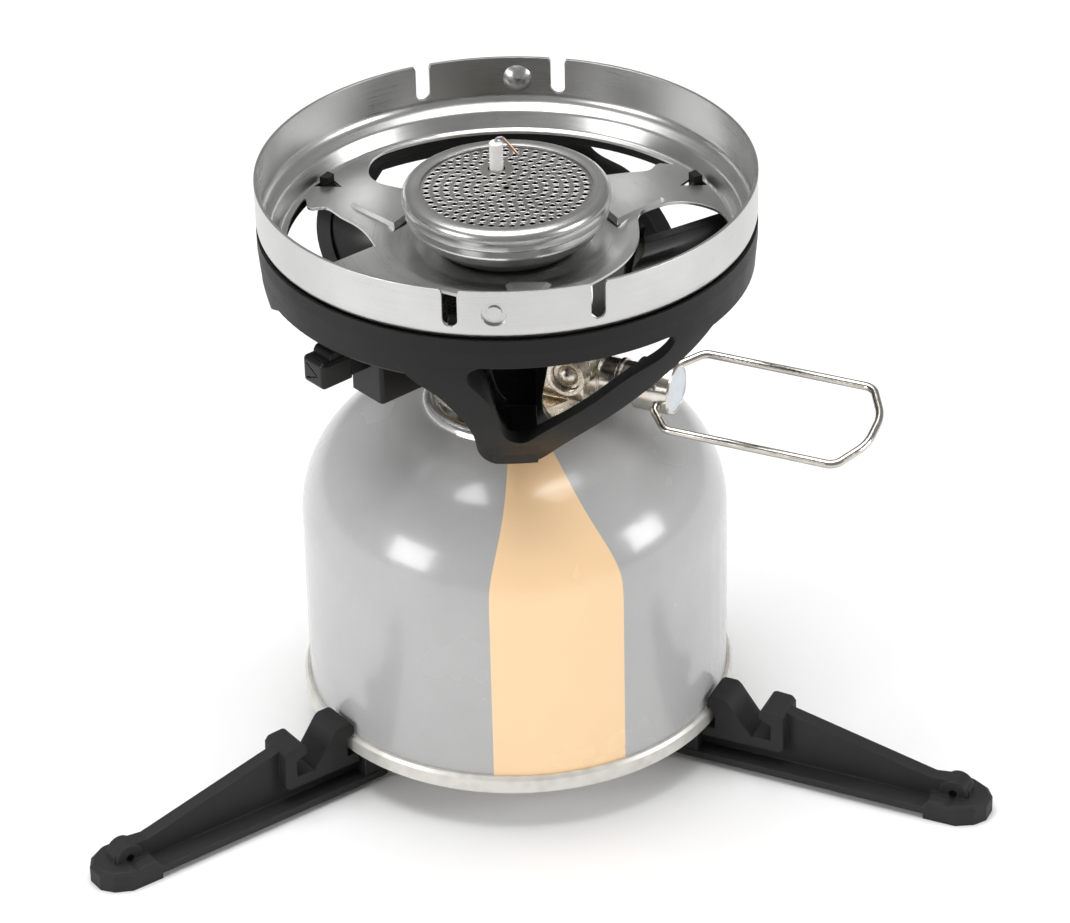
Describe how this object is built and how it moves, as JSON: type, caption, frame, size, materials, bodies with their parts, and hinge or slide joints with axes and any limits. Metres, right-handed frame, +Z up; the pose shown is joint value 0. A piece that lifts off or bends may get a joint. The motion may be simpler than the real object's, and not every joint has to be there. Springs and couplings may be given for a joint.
{
  "type": "camping stove",
  "caption": "Canister-top camping stove: burner with pot ring in a footed plastic base, wire-handled valve and push igniter, on a gas can held by a folding three-leg stand.",
  "frame": {"origin": "on the floor, on the upright axis of the gas can and burner", "axes": "+Z up; +X along the valve spindle, its knob and the leg that does not fold; +Y completes the right-handed frame"},
  "size_m": [0.161, 0.1844, 0.1315],
  "materials": {
    "can_paint": "glossy lacquer",
    "can_seam": "bright lacquered tinplate",
    "tinplate": "bright tinplate",
    "white_plastic": "moulded",
    "seal_rubber": "smooth",
    "spring_steel": "drawn wire",
    "stand_plastic": "fine moulded texture",
    "dark_steel": "black oxide",
    "stainless": "brushed sheet",
    "stainless_dark": "perforated sheet",
    "base_plastic": "fine moulded texture",
    "nickel": "nickel-plated casting",
    "brass": "turned",
    "knob_inset": "satin",
    "wire_steel": "polished wire",
    "igniter_plastic": "semi-gloss moulded",
    "ceramic": "glazed white",
    "electrode_metal": "heat-tinted wire",
    "lead_sleeve": "silicone sleeve"
  },
  "bodies": {
    "can_and_stand": {"can_body": "can_paint", "can_base": "can_seam", "can_valve_cup": "tinplate", "can_valve_housing": "white_plastic", "can_valve_seal": "seal_rubber", "can_valve_stem": "white_plastic", "can_valve_spring": "spring_steel", "leg_front": "stand_plastic", "pivot_rivet": "dark_steel", "pivot_washer": "dark_steel", "pivot_cap": "dark_steel"},
    "leg_rear": {"leg_rear": "stand_plastic"},
    "leg_side": {"leg_side": "stand_plastic"},
    "coupling_seal": {"coupling_seal": "seal_rubber"},
    "burner": {"burner_bowl": "stainless", "burner_cup": "stainless", "burner_lip": "stainless", "flame_plate": "stainless_dark", "gas_screen": "stainless_dark", "mixing_tube": "stainless", "base_frame": "base_plastic", "base_screws": "dark_steel", "valve_body": "nickel", "regulator_cap": "nickel", "regulator_diaphragm": "seal_rubber", "valve_bonnet": "nickel", "jet_nozzle": "brass", "can_coupling": "brass", "plunger_pin": "brass", "igniter_housing": "igniter_plastic", "electrode_insulator": "ceramic", "electrode_wire": "electrode_metal", "ignition_lead": "lead_sleeve"},
    "knob": {"knob": "nickel", "knob_cap": "knob_inset", "valve_spindle": "brass", "spindle_seal": "seal_rubber"},
    "handle": {"handle_wire": "wire_steel"},
    "igniter_button": {"igniter_button": "igniter_plastic", "igniter_spring": "spring_steel"}
  },
  "joints": [
    {"name": "leg_rear_fold", "type": "hinge", "parent": "can_and_stand", "child": "leg_rear", "pos_m": [0, 0, 0.0046], "axis": [0, 0, 1], "range_deg": [-96, 0]},
    {"name": "leg_side_fold", "type": "hinge", "parent": "can_and_stand", "child": "leg_side", "pos_m": [0, 0, 0.0068], "axis": [0, 0, 1], "range_deg": [0, 96]},
    {"name": "burner_lift", "type": "slide", "parent": "can_and_stand", "child": "coupling_seal", "axis": [0, 0, 1], "range_m": [0, 0.0046]},
    {"name": "burner_unscrew", "type": "hinge", "parent": "coupling_seal", "child": "burner", "pos_m": [0, 0, 0.0772], "axis": [0, 0, 1], "range_deg": [0, 1800]},
    {"name": "knob_turn", "type": "hinge", "parent": "burner", "child": "knob", "pos_m": [0.0325, 0, 0.086], "axis": [1, 0, 0], "range_deg": [0, 720]},
    {"name": "handle_fold", "type": "hinge", "parent": "knob", "child": "handle", "pos_m": [0.0343, 0, 0.086], "axis": [0, 0.9659, 0.2588], "range_deg": [-45, 45]},
    {"name": "igniter_press", "type": "slide", "parent": "burner", "child": "igniter_button", "axis": [0.4226, 0.9063, 0], "range_m": [0, 0.0033], "stiffness_N_per_m": 900, "springref_m": -0.002, "deforming": ["igniter_spring"]}
  ],
  "couplings": [
    {"joint": "burner_lift", "follows": "burner_unscrew", "m_per_rad": 0.00014435}
  ]
}
